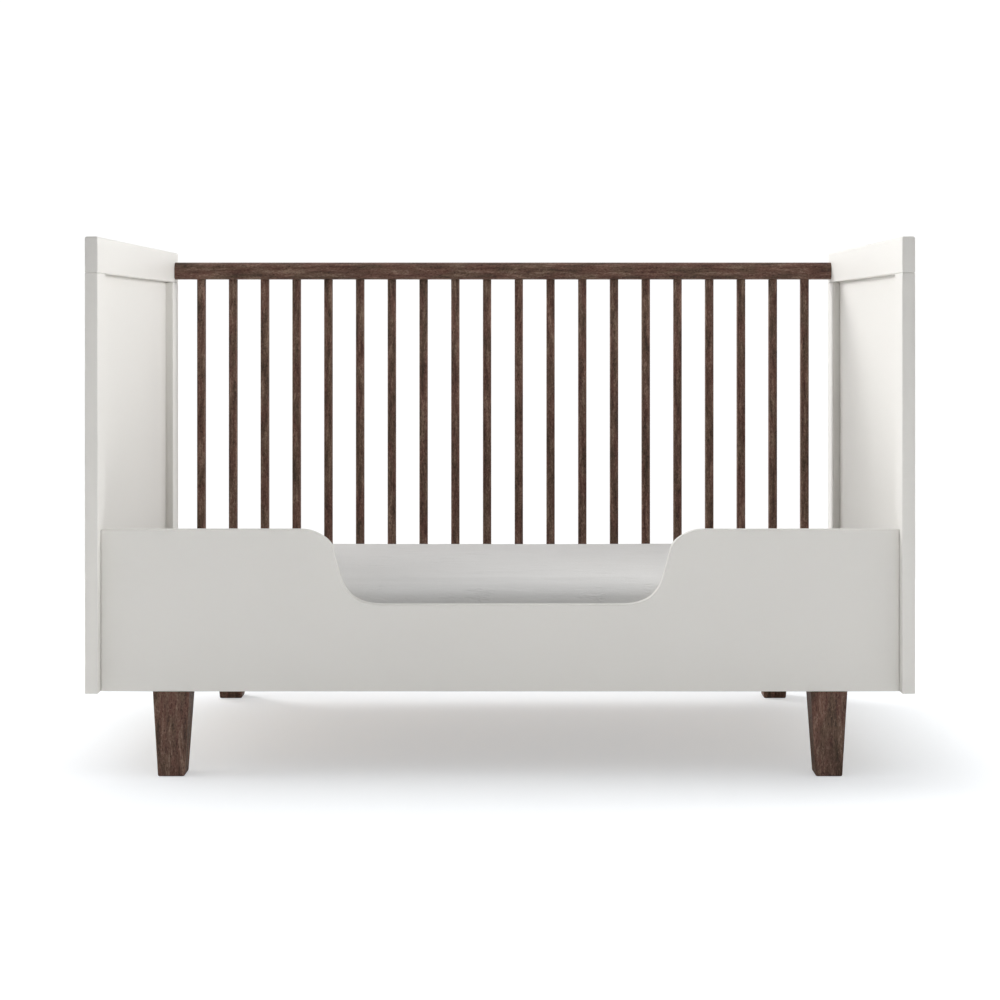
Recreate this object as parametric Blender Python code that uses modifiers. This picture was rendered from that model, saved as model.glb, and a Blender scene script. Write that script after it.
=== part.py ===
"""Baby crib in its toddler-bed form, built piece by piece.

Two white panelled ends, a walnut spindle side at the back, a low white guard
rail with a dip at the front, four tapered walnut legs, and a mattress on a
support board that hangs on hook brackets.

Frame: origin on the floor under the middle of the bed, +X along its length,
-Y the open front, +Z up. Metres.
"""

import math

import bmesh
import bpy
from mathutils import Matrix, Vector

# ---- driving dimensions -------------------------------------------------

# whole bed
INNER_LENGTH = 1.335         # between the inner faces of the two ends
END_DEPTH = 0.788            # front to back, over the ends
TOP_HEIGHT = 0.902           # floor to the top of the cap rails
UNDERSIDE = 0.142            # floor to the underside of the ends and rails

# ends
END_THICKNESS = 0.022
CAP_TALL = 0.0603
STILE_WIDTH = 0.062
END_RAIL_TALL = 0.120
PANEL_THICKNESS = 0.006
PANEL_OUTER_RECESS = 0.0012  # panel face behind the outer face of the frame
PANEL_TONGUE = 0.008         # how far the panel reaches into its grooves
CAP_ROUND = 0.0040           # top edges of the cap rails
END_ARRIS = 0.0014           # all other edges of the end frames

# rear side
REAR_SIDE_SETBACK = 0.031    # back of the bed to the middle of the rear side
REAR_RAIL_DEEP = 0.034
TOP_RAIL_TALL = 0.0345
TOP_RAIL_BELOW_CAP = 0.0203  # top of the cap rail to the top of the rear rail
TOP_RAIL_ROUND = 0.0125      # upper edges
TOP_RAIL_EASE = 0.0080       # lower edges
RAIL_ROUND = 0.0040          # edges of the bottom rail
BOTTOM_RAIL_TALL = 0.045
SPINDLE_COUNT = 20
SPINDLE_END_OFFSET = 0.05285  # inner face of the end to the first spindle's middle
SPINDLE_SIDE = 0.017
SPINDLE_ROUND = 0.0038
TENON_RADIUS = 0.0050
TENON_LENGTH = 0.014
TENON_SIDES = 8

# guard rail, with the dip that a child climbs in through
GUARD_SETBACK = 0.022        # front of the ends to the front of the guard rail
GUARD_THICKNESS = 0.018
GUARD_TALL = 0.2709
GUARD_ARRIS = 0.0016
DIP_DEPTH = 0.1257
DIP_MIDDLE_X = 0.003         # the dip sits a little to the right
DIP_TOP_CORNER = 0.2913      # half widths where the straight sides of the dip,
DIP_FLOOR_CORNER = 0.2570    # carried on, meet its top and its floor
SHOULDER_REACH = 0.0450      # rounding at the top, along the rail
SHOULDER_DROP = 0.0301       # rounding at the top, downwards
SHOULDER_TENSION = 0.50
FLOOR_REACH = 0.0590         # rounding at the floor, along the rail
FLOOR_RISE = 0.0509          # rounding at the floor, upwards
FLOOR_TENSION = 0.72
DIP_CURVE_STEPS = 14

# base rails and legs
BASE_RAIL_DEEP = 0.040
BASE_RAIL_TALL = 0.028
LEG_INSET = 0.1175           # inner face of the end to the middle of the leg
LEG_TOP = 0.0615
LEG_SOLE = 0.0447
LEG_FACE_BATTER = 0.001      # how far the outer face leans in, top to sole
LEG_ROUND = 0.0030
LEG_SOLE_ROUND = 0.0025
STUD_RADIUS = 0.0040
STUD_LENGTH = 0.022

# mattress and its support
MATTRESS_END_PLAY = 0.012    # mattress to the inner face of the end
MATTRESS_SIDE_PLAY = 0.004   # mattress to the guard rail and to the rear side
MATTRESS_THICK = 0.127
MATTRESS_CORNER = 0.040
MATTRESS_ROUND = 0.014
BOARD_RISE = 0.003           # top of the base rails to the underside of the board
BOARD_END_PLAY = 0.012
BOARD_SIDE_PLAY = 0.005
BOARD_THICK = 0.012
BOARD_CORNER = 0.020
BOARD_ARRIS = 0.0012
AIR_HOLE_RADIUS = 0.014
AIR_HOLE_COLUMNS = 6
AIR_HOLE_END_OFFSET = 0.1555  # end of the board to the first hole's middle
BATTEN_END_INSET = 0.0755    # end of the board to the end of the batten
BATTEN_SIDE_INSET = 0.125    # side of the board to the middle of the outer battens
BATTEN_DEEP = 0.040
BATTEN_TALL = 0.020
BATTEN_ARRIS = 0.0020

# hook brackets and the shoulder bolts they hang on
BRACKET_SIDE_INSET = 0.085   # side of the board to the middle of the bracket
BRACKET_WIDE = 0.050
BRACKET_STEEL = 0.002
BRACKET_ARM = 0.040
BRACKET_DROP = 0.024
BRACKET_END_GAP = 0.0005
SHOULDER_RADIUS = 0.0042
SHOULDER_HEAD_RADIUS = 0.0080
SHOULDER_HEAD_THICK = 0.004
SHOULDER_SHANK = 0.016
SLOT_PLAY = 0.0004           # around the shoulder

# connector bolts
BOLT_HEAD_RADIUS = 0.0085
BOLT_HEAD_THICK = 0.0028
BOLT_SHANK_RADIUS = 0.0030
BOLT_LENGTH = 0.060
BOLT_SINK = 0.0002           # head below the outer face
HEX_KEY_RADIUS = 0.0023
HEX_KEY_DEPTH = 0.0018
GUARD_BOLT_INSET = 0.0567    # from the top and the underside of the guard rail

GAP = 0.0003                 # between pieces that touch
HOLE_PLAY = 0.0004           # radial, around bolts, studs and tenons
ROUND_SEGMENTS = 2
TURNED_STEPS = 16
MERGE = 0.00001              # distance at which points of one shape are one

# ---- places worked out from them ----------------------------------------

END_INNER = INNER_LENGTH / 2
END_OUTER = END_INNER + END_THICKNESS
FRONT = -END_DEPTH / 2
BACK = END_DEPTH / 2
CAP_BOTTOM = TOP_HEIGHT - CAP_TALL
RAIL_HALF = END_INNER - GAP

GUARD_FRONT = FRONT + GUARD_SETBACK
GUARD_BACK = GUARD_FRONT + GUARD_THICKNESS
GUARD_MIDDLE = (GUARD_FRONT + GUARD_BACK) / 2
GUARD_TOP = UNDERSIDE + GUARD_TALL

REAR_MIDDLE = BACK - REAR_SIDE_SETBACK
REAR_FRONT = REAR_MIDDLE - REAR_RAIL_DEEP / 2
REAR_BACK = REAR_MIDDLE + REAR_RAIL_DEEP / 2
TOP_RAIL_TOP = TOP_HEIGHT - TOP_RAIL_BELOW_CAP
TOP_RAIL_BOTTOM = TOP_RAIL_TOP - TOP_RAIL_TALL
BOTTOM_RAIL_TOP = UNDERSIDE + BOTTOM_RAIL_TALL

SPINDLE_PITCH = (INNER_LENGTH - 2 * SPINDLE_END_OFFSET) / (SPINDLE_COUNT - 1)

LEG_CENTRE_X = END_INNER - LEG_INSET
BASE_RAIL_TOP = UNDERSIDE + BASE_RAIL_TALL
FRONT_BASE_FRONT = GUARD_BACK + GAP
FRONT_BASE_MIDDLE = FRONT_BASE_FRONT + BASE_RAIL_DEEP / 2
REAR_BASE_BACK = REAR_FRONT - GAP
REAR_BASE_MIDDLE = REAR_BASE_BACK - BASE_RAIL_DEEP / 2

BED_MIDDLE_Y = (GUARD_BACK + REAR_FRONT) / 2
BED_WIDTH = REAR_FRONT - GUARD_BACK
MATTRESS_LENGTH = INNER_LENGTH - 2 * MATTRESS_END_PLAY
MATTRESS_WIDTH = BED_WIDTH - 2 * MATTRESS_SIDE_PLAY
BOARD_LENGTH = INNER_LENGTH - 2 * BOARD_END_PLAY
BOARD_WIDTH = BED_WIDTH - 2 * BOARD_SIDE_PLAY
SUPPORT_HEIGHT = BASE_RAIL_TOP + BOARD_RISE
BOARD_TOP = SUPPORT_HEIGHT + BOARD_THICK
BATTEN_LENGTH = BOARD_LENGTH - 2 * BATTEN_END_INSET
BATTEN_PITCH = BOARD_WIDTH / 2 - BATTEN_SIDE_INSET
AIR_HOLE_PITCH_X = (BOARD_LENGTH - 2 * AIR_HOLE_END_OFFSET) / (AIR_HOLE_COLUMNS - 1)
BRACKET_Y = BOARD_WIDTH / 2 - BRACKET_SIDE_INSET
MATTRESS_BOTTOM = BOARD_TOP + GAP
BRACKET_TOP = SUPPORT_HEIGHT - GAP
BRACKET_BOTTOM = BRACKET_TOP - BRACKET_STEEL - BRACKET_DROP
SHOULDER_Z = (BRACKET_BOTTOM + BRACKET_TOP - BRACKET_STEEL) / 2
FLANGE_OUTER = END_INNER - BRACKET_END_GAP
FLANGE_INNER = FLANGE_OUTER - BRACKET_STEEL

# ---- materials ----------------------------------------------------------

FINISHES = {
    "white_paint": ((0.80, 0.785, 0.75), 0.42, 0.0),
    "walnut": ((0.105, 0.060, 0.045), 0.50, 0.0),
    "birch_board": ((0.62, 0.50, 0.36), 0.60, 0.0),
    "zinc_steel": ((0.62, 0.62, 0.63), 0.35, 0.9),
    "sheet_cotton": ((0.80, 0.79, 0.77), 0.90, 0.0),
}


def make_finish(name):
    """A Principled material with the finish's colour, roughness and metal."""
    colour, roughness, metallic = FINISHES[name]
    finish = bpy.data.materials.new(name)
    finish.use_nodes = True
    shader = finish.node_tree.nodes["Principled BSDF"]
    shader.inputs["Base Color"].default_value = (*colour, 1.0)
    shader.inputs["Roughness"].default_value = roughness
    shader.inputs["Metallic"].default_value = metallic
    finish.diffuse_color = (*colour, 1.0)
    return finish


# ---- modelling helpers --------------------------------------------------

def new_object(name, mesh, collection, finish=None):
    thing = bpy.data.objects.new(name, mesh)
    collection.objects.link(thing)
    if finish:
        mesh.materials.append(finish)
    return thing


def box_mesh(name, low, high):
    """A box mesh centred on its own origin, and the place of that origin."""
    low, high = Vector(low), Vector(high)
    size = high - low
    shape = bmesh.new()
    bmesh.ops.create_cube(shape, size=1.0, matrix=Matrix.Diagonal((*size, 1.0)))
    mesh = bpy.data.meshes.new(name)
    shape.to_mesh(mesh)
    shape.free()
    return mesh, (low + high) / 2


def round_edges(thing, width, segments=ROUND_SEGMENTS):
    bevel = thing.modifiers.new("round edges", "BEVEL")
    bevel.width = width
    bevel.segments = segments
    bevel.limit_method = "ANGLE"
    bevel.angle_limit = math.radians(40)
    bevel.use_clamp_overlap = True


def round_edges_by(thing, width_at, segments=ROUND_SEGMENTS):
    """Rounds each edge by the width that width_at gives for its two ends."""
    mesh = thing.data
    weights = mesh.attributes.new("bevel_weight_edge", "FLOAT", "EDGE")
    corners = [vertex.co for vertex in mesh.vertices]
    widths = [width_at(corners[a], corners[b])
              for a, b in (edge.vertices for edge in mesh.edges)]
    widest = max(widths)
    for weight, width in zip(weights.data, widths):
        weight.value = width / widest
    bevel = thing.modifiers.new("round edges", "BEVEL")
    bevel.width = widest
    bevel.segments = segments
    bevel.limit_method = "WEIGHT"


def cut(thing, cutter, operation="DIFFERENCE"):
    boolean = thing.modifiers.new("cut " + cutter.name, "BOOLEAN")
    boolean.operation = operation
    boolean.solver = "EXACT"
    boolean.object = cutter


def weld_on(thing, stub):
    cut(thing, stub, "UNION")


def box(name, low, high, finish, width=END_ARRIS, segments=ROUND_SEGMENTS):
    mesh, middle = box_mesh(name, low, high)
    thing = new_object(name, mesh, PARTS, finish)
    thing.location = middle
    round_edges(thing, width, segments)
    return thing


def as_cutter(cutter):
    cutter.hide_render = True
    cutter.display_type = "WIRE"
    return cutter


def box_cutter(name, low, high):
    mesh, middle = box_mesh(name, low, high)
    cutter = new_object(name, mesh, CUTTERS)
    cutter.location = middle
    return as_cutter(cutter)


def rods(name, ends, radius, sides=TURNED_STEPS):
    """Straight round rods, one for each (start, end), as one cutter or tool."""
    shape = bmesh.new()
    for start, end in ends:
        start, end = Vector(start), Vector(end)
        along = end - start
        place = Matrix.Translation((start + end) / 2)
        turn = along.to_track_quat("Z", "Y").to_matrix().to_4x4()
        bmesh.ops.create_cone(
            shape, cap_ends=True, segments=sides, radius1=radius, radius2=radius,
            depth=along.length, matrix=place @ turn)
    mesh = bpy.data.meshes.new(name)
    shape.to_mesh(mesh)
    shape.free()
    return as_cutter(new_object(name, mesh, CUTTERS))


def turned(name, profile, collection, finish=None):
    """A solid turned about its own Z from (radius, height) points, top first."""
    mesh = bpy.data.meshes.new(name)
    points = [(radius, 0.0, height) for radius, height in profile]
    edges = [(i, i + 1) for i in range(len(points) - 1)]
    mesh.from_pydata(points, edges, [])
    thing = new_object(name, mesh, collection, finish)
    screw = thing.modifiers.new("turn", "SCREW")
    screw.axis = "Z"
    screw.steps = TURNED_STEPS
    screw.render_steps = TURNED_STEPS
    screw.use_merge_vertices = True
    screw.merge_threshold = MERGE
    screw.use_smooth_shade = False
    return thing


def settled_mesh(thing, *tools):
    """The thing's mesh with its modifiers applied; the thing and tools go."""
    bpy.context.view_layer.update()
    evaluated = thing.evaluated_get(bpy.context.evaluated_depsgraph_get())
    mesh = bpy.data.meshes.new_from_object(evaluated)
    mesh.name = thing.name
    for used in (thing, *tools):
        bpy.data.objects.remove(used)
    return mesh


def side_name(side):
    return "left" if side < 0 else "right"


def end_name(facing):
    return "front" if facing < 0 else "rear"


def across(side, inner, outer):
    """Low and high X of a span given from the middle of the bed outwards."""
    return sorted((side * inner, side * outer))


# ---- ends ---------------------------------------------------------------

def make_end(side):
    name = side_name(side)
    low_x, high_x = across(side, END_INNER, END_OUTER)
    panel_outer = END_OUTER - PANEL_OUTER_RECESS
    panel_x = across(side, panel_outer - PANEL_THICKNESS, panel_outer)
    panel_low_y = FRONT + STILE_WIDTH - PANEL_TONGUE
    panel_high_y = BACK - STILE_WIDTH + PANEL_TONGUE
    end_rail_top = UNDERSIDE + END_RAIL_TALL
    panel_low_z = end_rail_top - PANEL_TONGUE
    panel_high_z = CAP_BOTTOM + PANEL_TONGUE

    def cap_width(a, b):
        half_tall = CAP_TALL / 2
        on_top = min(a.z, b.z) > half_tall * 0.9
        return CAP_ROUND if on_top else END_ARRIS

    cap_mesh, cap_middle = box_mesh(
        name + "_cap_rail", (low_x, FRONT, CAP_BOTTOM), (high_x, BACK, TOP_HEIGHT))
    cap = new_object(name + "_cap_rail", cap_mesh, PARTS, WHITE_PAINT)
    cap.location = cap_middle
    round_edges_by(cap, cap_width, 4)

    front_stile = box(
        name + "_front_stile",
        (low_x, FRONT, UNDERSIDE),
        (high_x, FRONT + STILE_WIDTH, CAP_BOTTOM - GAP), WHITE_PAINT)
    rear_stile = box(
        name + "_rear_stile",
        (low_x, BACK - STILE_WIDTH, UNDERSIDE),
        (high_x, BACK, CAP_BOTTOM - GAP), WHITE_PAINT)
    end_rail = box(
        name + "_end_bottom_rail",
        (low_x, FRONT + STILE_WIDTH + GAP, UNDERSIDE),
        (high_x, BACK - STILE_WIDTH - GAP, end_rail_top), WHITE_PAINT)
    box(name + "_inset_panel",
        (panel_x[0], panel_low_y + GAP, panel_low_z + GAP),
        (panel_x[1], panel_high_y - GAP, panel_high_z - GAP),
        WHITE_PAINT, PANEL_THICKNESS / 12, 1)

    groove = box_cutter(
        name + "_panel_groove",
        (panel_x[0] - GAP, panel_low_y, panel_low_z),
        (panel_x[1] + GAP, panel_high_y, panel_high_z))
    for piece in (cap, front_stile, rear_stile, end_rail):
        cut(piece, groove)
    return cap, front_stile, rear_stile, end_rail


# ---- rear side ----------------------------------------------------------

def make_rear_side():
    def top_rail_width(a, b):
        runs_along = abs(a.x - b.x) > REAR_RAIL_DEEP
        if not runs_along:
            return 0.0
        return TOP_RAIL_ROUND if a.z > 0 else TOP_RAIL_EASE

    mesh, middle = box_mesh(
        "rear_top_rail",
        (-RAIL_HALF, REAR_FRONT, TOP_RAIL_BOTTOM), (RAIL_HALF, REAR_BACK, TOP_RAIL_TOP))
    top_rail = new_object("rear_top_rail", mesh, PARTS, WALNUT)
    top_rail.location = middle
    round_edges_by(top_rail, top_rail_width, 6)

    bottom_rail = box(
        "rear_bottom_rail",
        (-RAIL_HALF, REAR_FRONT, UNDERSIDE), (RAIL_HALF, REAR_BACK, BOTTOM_RAIL_TOP),
        WALNUT, RAIL_ROUND, 3)

    low = BOTTOM_RAIL_TOP + GAP
    high = TOP_RAIL_BOTTOM - GAP
    places = [(index - (SPINDLE_COUNT - 1) / 2) * SPINDLE_PITCH
              for index in range(SPINDLE_COUNT)]
    spindle_mesh = make_spindle_mesh(high - low)
    for number, x in enumerate(places, 1):
        spindle = new_object(f"spindle_{number:02d}", spindle_mesh, PARTS)
        spindle.location = (x, REAR_MIDDLE, (low + high) / 2)

    depth = TENON_LENGTH + 2 * GAP
    holes = rods(
        "spindle_holes",
        [((x, REAR_MIDDLE, low - depth), (x, REAR_MIDDLE, high + depth)) for x in places],
        TENON_RADIUS + HOLE_PLAY, TENON_SIDES)
    cut(top_rail, holes)
    cut(bottom_rail, holes)
    return top_rail, bottom_rail


def make_spindle_mesh(length):
    """A square bar with rounded edges and a round tenon at each end."""
    half = SPINDLE_SIDE / 2
    mesh, _ = box_mesh("spindle", (-half, -half, -length / 2), (half, half, length / 2))
    shape = bmesh.new()
    shape.from_mesh(mesh)
    long_edges = [edge for edge in shape.edges if edge.calc_length() > length / 2]
    bmesh.ops.bevel(shape, geom=long_edges, offset=SPINDLE_ROUND, segments=4,
                    profile=0.5, affect="EDGES")
    shape.to_mesh(mesh)
    shape.free()
    bar = new_object("spindle", mesh, PARTS, WALNUT)
    reach = length / 2 + TENON_LENGTH
    tenons = rods("tenons", [((0, 0, -reach), (0, 0, reach))], TENON_RADIUS, TENON_SIDES)
    weld_on(bar, tenons)
    return settled_mesh(bar, tenons)


# ---- guard rail ---------------------------------------------------------

def dip_points():
    """Bezier points of the dip from its left shoulder to its right one.

    Each is (point, left handle, right handle) in the plane of the rail, with
    None for a handle that runs straight to the next point.
    """
    top = GUARD_TOP
    floor = GUARD_TOP - DIP_DEPTH
    lean = (DIP_TOP_CORNER - DIP_FLOOR_CORNER) / DIP_DEPTH
    top_corner = Vector((-DIP_TOP_CORNER, top))
    floor_corner = Vector((-DIP_FLOOR_CORNER, floor))
    shoulder = top_corner - Vector((SHOULDER_REACH, 0))
    wall_top = top_corner + Vector((lean, -1)) * SHOULDER_DROP
    wall_foot = floor_corner - Vector((lean, -1)) * FLOOR_RISE
    floor_start = floor_corner + Vector((FLOOR_REACH, 0))
    left = [
        (shoulder, None, shoulder.lerp(top_corner, SHOULDER_TENSION)),
        (wall_top, wall_top.lerp(top_corner, SHOULDER_TENSION), None),
        (wall_foot, None, wall_foot.lerp(floor_corner, FLOOR_TENSION)),
        (floor_start, floor_start.lerp(floor_corner, FLOOR_TENSION), None),
    ]

    def mirrored(vector):
        return vector and Vector((-vector.x, vector.y))

    def in_place(vector):
        return vector and vector + Vector((DIP_MIDDLE_X, 0))

    right = [(mirrored(point), mirrored(after), mirrored(before))
             for point, before, after in reversed(left)]
    return [tuple(in_place(vector) for vector in knot) for knot in left + right]


def make_guard_rail():
    corners = [Vector((-RAIL_HALF, GUARD_TOP)), Vector((-RAIL_HALF, UNDERSIDE)),
               Vector((RAIL_HALF, UNDERSIDE)), Vector((RAIL_HALF, GUARD_TOP))]
    outline = [(corner, None, None) for corner in corners] + [
        (point, after, before) for point, before, after in reversed(dip_points())]

    curve = bpy.data.curves.new("guard_rail", "CURVE")
    curve.dimensions = "2D"
    curve.fill_mode = "BOTH"
    curve.extrude = GUARD_THICKNESS / 2
    curve.resolution_u = DIP_CURVE_STEPS
    spline = curve.splines.new("BEZIER")
    spline.bezier_points.add(len(outline) - 1)
    spline.use_cyclic_u = True
    for knot, (point, before, after) in zip(spline.bezier_points, outline):
        knot.co = (*point, 0)
        knot.handle_left_type = "FREE" if before else "VECTOR"
        knot.handle_right_type = "FREE" if after else "VECTOR"
        if before:
            knot.handle_left = (*before, 0)
        if after:
            knot.handle_right = (*after, 0)

    drawn = bpy.data.objects.new("guard_rail", curve)
    PARTS.objects.link(drawn)
    drawn.location = (0, GUARD_MIDDLE, 0)
    drawn.rotation_euler = (math.radians(90), 0, 0)
    bpy.context.view_layer.update()
    place = drawn.matrix_world.copy()
    mesh = settled_mesh(drawn)

    shape = bmesh.new()
    shape.from_mesh(mesh)
    bmesh.ops.remove_doubles(shape, verts=shape.verts, dist=MERGE)
    bmesh.ops.dissolve_limit(shape, angle_limit=math.radians(0.5),
                             verts=shape.verts, edges=shape.edges)
    bmesh.ops.recalc_face_normals(shape, faces=shape.faces)
    shape.to_mesh(mesh)
    shape.free()
    mesh.materials.clear()
    rail = new_object("guard_rail", mesh, PARTS, WHITE_PAINT)
    rail.matrix_world = place
    round_edges(rail, GUARD_ARRIS, 3)
    return rail


# ---- base rails and legs ------------------------------------------------

def make_base(facing):
    """A base rail and its two legs: facing is -1 at the front, 1 at the back."""
    name = end_name(facing)
    rail_middle = FRONT_BASE_MIDDLE if facing < 0 else REAR_BASE_MIDDLE
    rail = box(
        name + "_base_rail",
        (-RAIL_HALF, rail_middle - BASE_RAIL_DEEP / 2, UNDERSIDE),
        (RAIL_HALF, rail_middle + BASE_RAIL_DEEP / 2, BASE_RAIL_TOP),
        WALNUT, RAIL_ROUND / 2, 1)
    leg_middle = BACK - GUARD_SETBACK - LEG_TOP / 2
    stud_y = rail_middle * facing - leg_middle
    leg_mesh = make_leg_mesh(name + "_leg", stud_y)
    for side in (-1, 1):
        leg = new_object(f"{name}_{side_name(side)}_leg", leg_mesh, PARTS)
        leg.location = (side * LEG_CENTRE_X, facing * leg_middle, 0)
        leg.rotation_euler = (0, 0, 0 if facing > 0 else math.pi)
    stud_holes = rods(
        name + "_stud_holes",
        [((side * LEG_CENTRE_X, rail_middle, UNDERSIDE - GAP),
          (side * LEG_CENTRE_X, rail_middle, UNDERSIDE + STUD_LENGTH + GAP))
         for side in (-1, 1)],
        STUD_RADIUS + HOLE_PLAY)
    cut(rail, stud_holes)
    return rail


def make_leg_mesh(name, stud_y):
    """A square leg with its outer face to +Y, tapered, with its stud on top."""
    tall = UNDERSIDE - GAP
    half = LEG_TOP / 2
    mesh, middle = box_mesh(name, (-half, -half, 0), (half, half, tall))
    shape = bmesh.new()
    shape.from_mesh(mesh)
    bmesh.ops.translate(shape, verts=shape.verts, vec=middle)
    sole_face = half - LEG_FACE_BATTER
    for vertex in shape.verts:
        if vertex.co.z < tall / 2:
            vertex.co.x = math.copysign(LEG_SOLE / 2, vertex.co.x)
            vertex.co.y = sole_face if vertex.co.y > 0 else sole_face - LEG_SOLE
    upright = [edge for edge in shape.edges
               if abs(edge.verts[0].co.z - edge.verts[1].co.z) > tall / 2]
    bmesh.ops.bevel(shape, geom=upright, offset=LEG_ROUND, segments=4, profile=0.5,
                    affect="EDGES")
    sole = min(shape.faces, key=lambda face: face.calc_center_median().z)
    bmesh.ops.bevel(shape, geom=list(sole.edges), offset=LEG_SOLE_ROUND, segments=2,
                    profile=0.5, affect="EDGES")
    shape.to_mesh(mesh)
    shape.free()
    leg = new_object(name, mesh, PARTS, WALNUT)
    stud = rods(name + "_stud", [((0, stud_y, tall / 2), (0, stud_y, tall + STUD_LENGTH))],
                STUD_RADIUS)
    weld_on(leg, stud)
    return settled_mesh(leg, stud)


# ---- mattress and its support -------------------------------------------

def make_slab(name, low, high, corner, width, finish):
    """A flat slab with round corners in plan and rounded top and bottom edges."""
    mesh, middle = box_mesh(name, low, high)
    thick = high[2] - low[2]
    shape = bmesh.new()
    shape.from_mesh(mesh)
    upright = [edge for edge in shape.edges
               if abs(edge.verts[0].co.z - edge.verts[1].co.z) > thick / 2]
    bmesh.ops.bevel(shape, geom=upright, offset=corner, segments=4, profile=0.5,
                    affect="EDGES")
    shape.to_mesh(mesh)
    shape.free()
    slab = new_object(name, mesh, PARTS, finish)
    slab.location = middle
    round_edges(slab, width)
    return slab


def make_mattress():
    half_long, half_wide = MATTRESS_LENGTH / 2, MATTRESS_WIDTH / 2
    return make_slab(
        "mattress",
        (-half_long, BED_MIDDLE_Y - half_wide, MATTRESS_BOTTOM),
        (half_long, BED_MIDDLE_Y + half_wide, MATTRESS_BOTTOM + MATTRESS_THICK),
        MATTRESS_CORNER, MATTRESS_ROUND, SHEET_COTTON)


def make_support():
    half_long, half_wide = BOARD_LENGTH / 2, BOARD_WIDTH / 2
    board = make_slab(
        "support_board",
        (-half_long, BED_MIDDLE_Y - half_wide, SUPPORT_HEIGHT),
        (half_long, BED_MIDDLE_Y + half_wide, BOARD_TOP),
        BOARD_CORNER, BOARD_ARRIS, BIRCH_BOARD)
    columns = [(index - (AIR_HOLE_COLUMNS - 1) / 2) * AIR_HOLE_PITCH_X
               for index in range(AIR_HOLE_COLUMNS)]
    rows = (BED_MIDDLE_Y - BATTEN_PITCH / 2, BED_MIDDLE_Y + BATTEN_PITCH / 2)
    air_holes = rods(
        "air_holes",
        [((x, y, SUPPORT_HEIGHT - GAP), (x, y, BOARD_TOP + GAP))
         for x in columns for y in rows],
        AIR_HOLE_RADIUS)
    cut(board, air_holes)

    batten_names = ("front", "middle", "rear")
    for row, name in enumerate(batten_names, -1):
        y = BED_MIDDLE_Y + row * BATTEN_PITCH
        box(f"{name}_batten",
            (-BATTEN_LENGTH / 2, y - BATTEN_DEEP / 2, BRACKET_TOP - BATTEN_TALL),
            (BATTEN_LENGTH / 2, y + BATTEN_DEEP / 2, BRACKET_TOP),
            BIRCH_BOARD, BATTEN_ARRIS, 1)

    for side in (-1, 1):
        for facing in (-1, 1):
            make_bracket(side, facing)
    return board


def make_bracket(side, facing):
    """An angle bracket under the board: its flange hooks over a shoulder bolt."""
    y = BED_MIDDLE_Y + facing * BRACKET_Y
    name = f"{end_name(facing)}_{side_name(side)}_bracket"
    strip = [(side * (FLANGE_OUTER - BRACKET_ARM), BRACKET_TOP),
             (side * FLANGE_OUTER, BRACKET_TOP),
             (side * FLANGE_OUTER, BRACKET_BOTTOM)]
    shape = bmesh.new()
    corners = [shape.verts.new((x, y - BRACKET_WIDE / 2, z)) for x, z in strip]
    edges = [shape.edges.new(pair) for pair in zip(corners, corners[1:])]
    grown = bmesh.ops.extrude_edge_only(shape, edges=edges)["geom"]
    far = [item for item in grown if isinstance(item, bmesh.types.BMVert)]
    bmesh.ops.translate(shape, verts=far, vec=(0, BRACKET_WIDE, 0))
    bend = [edge for edge in shape.edges
            if len(edge.link_faces) == 2 and abs(edge.verts[0].co.y - edge.verts[1].co.y) > 0]
    bmesh.ops.bevel(shape, geom=bend, offset=2 * BRACKET_STEEL, segments=3, profile=0.5,
                    affect="EDGES")
    bmesh.ops.recalc_face_normals(shape, faces=shape.faces)
    outward = sum((face.normal.z for face in shape.faces), 0.0)
    if outward < 0:
        bmesh.ops.reverse_faces(shape, faces=shape.faces)
    mesh = bpy.data.meshes.new(name)
    shape.to_mesh(mesh)
    shape.free()
    bracket = new_object(name, mesh, PARTS, ZINC_STEEL)
    steel = bracket.modifiers.new("steel thickness", "SOLIDIFY")
    steel.thickness = BRACKET_STEEL
    steel.offset = -1.0
    steel.use_even_offset = True
    cut(bracket, make_slot(name + "_slot", side, y))
    return bracket


def make_slot(name, side, y):
    """The slot that opens downwards, with a round top that sits on the shoulder."""
    half = SHOULDER_RADIUS + SLOT_PLAY
    low_x, high_x = across(side, FLANGE_INNER - BRACKET_STEEL, FLANGE_OUTER + BRACKET_STEEL)
    slot = box_cutter(
        name,
        (low_x, y - half, BRACKET_BOTTOM - BRACKET_STEEL),
        (high_x, y + half, SHOULDER_Z + half))
    shape = bmesh.new()
    shape.from_mesh(slot.data)
    upper = [edge for edge in shape.edges
             if min(v.co.z for v in edge.verts) > 0
             and abs(edge.verts[0].co.x - edge.verts[1].co.x) > 0]
    bmesh.ops.bevel(shape, geom=upper, offset=half * 0.98, segments=6, profile=0.5,
                    affect="EDGES")
    shape.to_mesh(slot.data)
    shape.free()
    return slot


# ---- bolts --------------------------------------------------------------

def with_key_socket(bolt, head_top, finish):
    """The bolt's settled mesh, with a hexagon socket in the top of its head."""
    socket = rods(
        bolt.name + "_socket",
        [((0, 0, head_top - HEX_KEY_DEPTH), (0, 0, head_top + HEX_KEY_DEPTH))],
        HEX_KEY_RADIUS, 6)
    cut(bolt, socket)
    mesh = settled_mesh(bolt, socket)
    mesh.materials.clear()
    mesh.materials.append(finish)
    return mesh


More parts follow.
